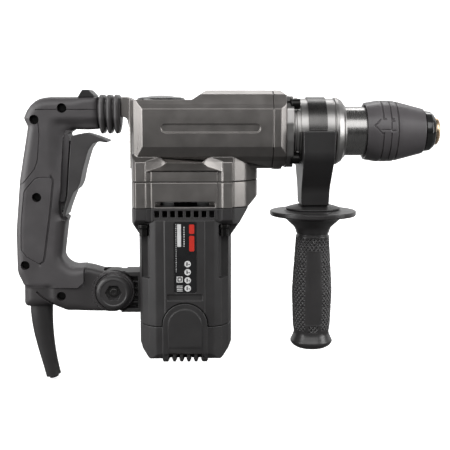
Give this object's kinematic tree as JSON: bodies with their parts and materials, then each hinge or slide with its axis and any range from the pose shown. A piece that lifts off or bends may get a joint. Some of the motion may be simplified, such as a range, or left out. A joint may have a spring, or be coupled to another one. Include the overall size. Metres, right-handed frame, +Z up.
{
  "type": "rotary hammer",
  "caption": "corded rotary hammer with an upright motor, sprung D-shaped rear handle with trigger, quick-release bit chuck and clamp-on side handle with hand guard",
  "frame": {"origin": "on the spindle axis, at the centre of the strike pin's front face that a bit shank's end seats on", "axes": "+X forward along the spindle to the chuck nose, +Y to the tool's left side, +Z up away from the motor"},
  "size_m": [0.3913, 0.0982, 0.2727],
  "materials": {
    "housing_paint": "satin gunmetal paint over die casting",
    "motor_plastic": "fine moulded texture",
    "handle_plastic": "fine moulded texture",
    "black_plastic": "moulded",
    "soft_rubber": "moulded rubber",
    "gloss_black": "gloss",
    "cast_aluminium": "fine bead-blasted casting",
    "bright_steel": "ground and polished",
    "dark_steel": "hardened and oiled",
    "black_screw": "black oxide",
    "brush_carbon": "pressed carbon",
    "sleeve_plastic": "satin moulded sleeve"
  },
  "bodies": {
    "housing": {"gear_housing": "housing_paint", "front_flange": "housing_paint", "barrel_housing": "cast_aluminium", "intermediate_housing": "housing_paint", "motor_housing": "motor_plastic", "motor_cap": "motor_plastic", "motor_screw_1": "black_screw", "motor_screw_2": "black_screw", "motor_screw_3": "black_screw", "motor_screw_4": "black_screw", "nose_screw_1": "black_screw", "nose_screw_2": "black_screw", "nose_screw_3": "black_screw", "nose_screw_4": "black_screw", "grease_cap": "gloss_black", "detent_plug": "black_screw", "stator": "bright_steel", "armature_bearing_top": "bright_steel", "armature_bearing_bottom": "bright_steel", "spindle_bearing": "bright_steel", "neck_seal": "soft_rubber", "brush_front": "brush_carbon", "brush_rear": "brush_carbon", "pivot_bolt": "bright_steel", "damper_spring": "bright_steel", "bellows": "soft_rubber"},
    "armature": {"armature": "bright_steel", "fan": "motor_plastic"},
    "crank": {"crank_gear": "dark_steel"},
    "bevel_shaft": {"bevel_shaft": "dark_steel"},
    "spindle": {"spindle": "bright_steel", "ring_gear": "dark_steel", "dust_cap": "gloss_black", "sleeve_spring": "bright_steel"},
    "piston": {"piston": "cast_aluminium", "connecting_rod": "bright_steel"},
    "striker": {"striker": "bright_steel"},
    "strike_pin": {"strike_pin": "bright_steel"},
    "chuck_sleeve": {"chuck_sleeve": "sleeve_plastic"},
    "lock_ball_left": {"lock_ball_2": "bright_steel"},
    "lock_ball_right": {"lock_ball_1": "bright_steel"},
    "mode_knob": {"mode_knob": "black_plastic"},
    "side_clamp": {"clamp_band": "dark_steel", "yoke": "black_plastic", "tee_bolt": "bright_steel"},
    "side_grip": {"grip": "soft_rubber"},
    "rear_handle": {"handle_shell_right": "handle_plastic", "handle_shell_left": "handle_plastic", "handle_screw_1": "black_screw", "handle_screw_2": "black_screw", "handle_screw_3": "black_screw", "handle_screw_4": "black_screw", "handle_screw_5": "black_screw", "switch_body": "black_plastic", "pivot_cap_right": "black_plastic", "pivot_cap_left": "black_plastic", "cord_guard": "soft_rubber", "power_cord": "soft_rubber"},
    "trigger": {"trigger": "black_plastic"},
    "lock_slider": {"lock_slider": "black_plastic"}
  },
  "joints": [
    {"name": "armature_spin", "type": "hinge", "parent": "housing", "child": "armature", "pos_m": [-0.175, 0, -0.12], "axis": [0, 0, 1], "continuous": true},
    {"name": "crank_spin", "type": "hinge", "parent": "housing", "child": "crank", "pos_m": [-0.197, 0, -0.03], "axis": [0, 0, 1], "continuous": true},
    {"name": "bevel_shaft_spin", "type": "hinge", "parent": "housing", "child": "bevel_shaft", "pos_m": [-0.147, 0, -0.03], "axis": [0, 0, 1], "continuous": true},
    {"name": "spindle_spin", "type": "hinge", "parent": "housing", "child": "spindle", "pos_m": [-0.06, 0, 0], "axis": [1, 0, 0], "continuous": true},
    {"name": "piston_slide", "type": "slide", "parent": "housing", "child": "piston", "axis": [1, 0, 0], "range_m": [-0.022, 0]},
    {"name": "striker_slide", "type": "slide", "parent": "housing", "child": "striker", "axis": [1, 0, 0], "range_m": [-0.01, 0.005]},
    {"name": "strike_pin_slide", "type": "slide", "parent": "spindle", "child": "strike_pin", "axis": [1, 0, 0], "range_m": [-0.0055, 0]},
    {"name": "chuck_sleeve_pull", "type": "slide", "parent": "spindle", "child": "chuck_sleeve", "axis": [-1, 0, 0], "range_m": [0, 0.008], "stiffness_N_per_m": 900, "deforming": ["sleeve_spring"]},
    {"name": "lock_ball_left_slide", "type": "slide", "parent": "spindle", "child": "lock_ball_left", "axis": [0, 1, 0], "range_m": [0, 0.0029]},
    {"name": "lock_ball_right_slide", "type": "slide", "parent": "spindle", "child": "lock_ball_right", "axis": [0, -1, 0], "range_m": [0, 0.0029]},
    {"name": "mode_knob_turn", "type": "hinge", "parent": "housing", "child": "mode_knob", "pos_m": [-0.163, 0.044, 0.002], "axis": [0, 1, 0], "range_deg": [-90, 90]},
    {"name": "side_handle_swivel", "type": "hinge", "parent": "housing", "child": "side_clamp", "pos_m": [-0.0555, 0, 0], "axis": [1, 0, 0], "continuous": true},
    {"name": "side_grip_turn", "type": "hinge", "parent": "side_clamp", "child": "side_grip", "pos_m": [-0.0555, 0, -0.12], "axis": [0, 0, 1], "continuous": true},
    {"name": "handle_swing", "type": "hinge", "parent": "housing", "child": "rear_handle", "pos_m": [-0.2415, 0, -0.148], "axis": [0, -1, 0], "range_deg": [-1, 2], "stiffness_Nm_per_rad": 60, "deforming": ["bellows", "damper_spring"]},
    {"name": "trigger_pull", "type": "hinge", "parent": "rear_handle", "child": "trigger", "pos_m": [-0.293, 0, -0.072], "axis": [0, -1, 0], "range_deg": [0, 5], "stiffness_Nm_per_rad": 2},
    {"name": "lock_slider_shift", "type": "slide", "parent": "rear_handle", "child": "lock_slider", "axis": [1, 0, 0], "range_m": [-0.004, 0.001]}
  ],
  "couplings": [
    {"joint": "crank_spin", "follows": "armature_spin", "ratio": -0.26923},
    {"joint": "bevel_shaft_spin", "follows": "armature_spin", "ratio": -0.2},
    {"joint": "spindle_spin", "follows": "armature_spin", "ratio": -0.06},
    {"joint": "lock_ball_left_slide", "follows": "chuck_sleeve_pull", "ratio": 0.3625},
    {"joint": "lock_ball_right_slide", "follows": "chuck_sleeve_pull", "ratio": 0.3625}
  ]
}
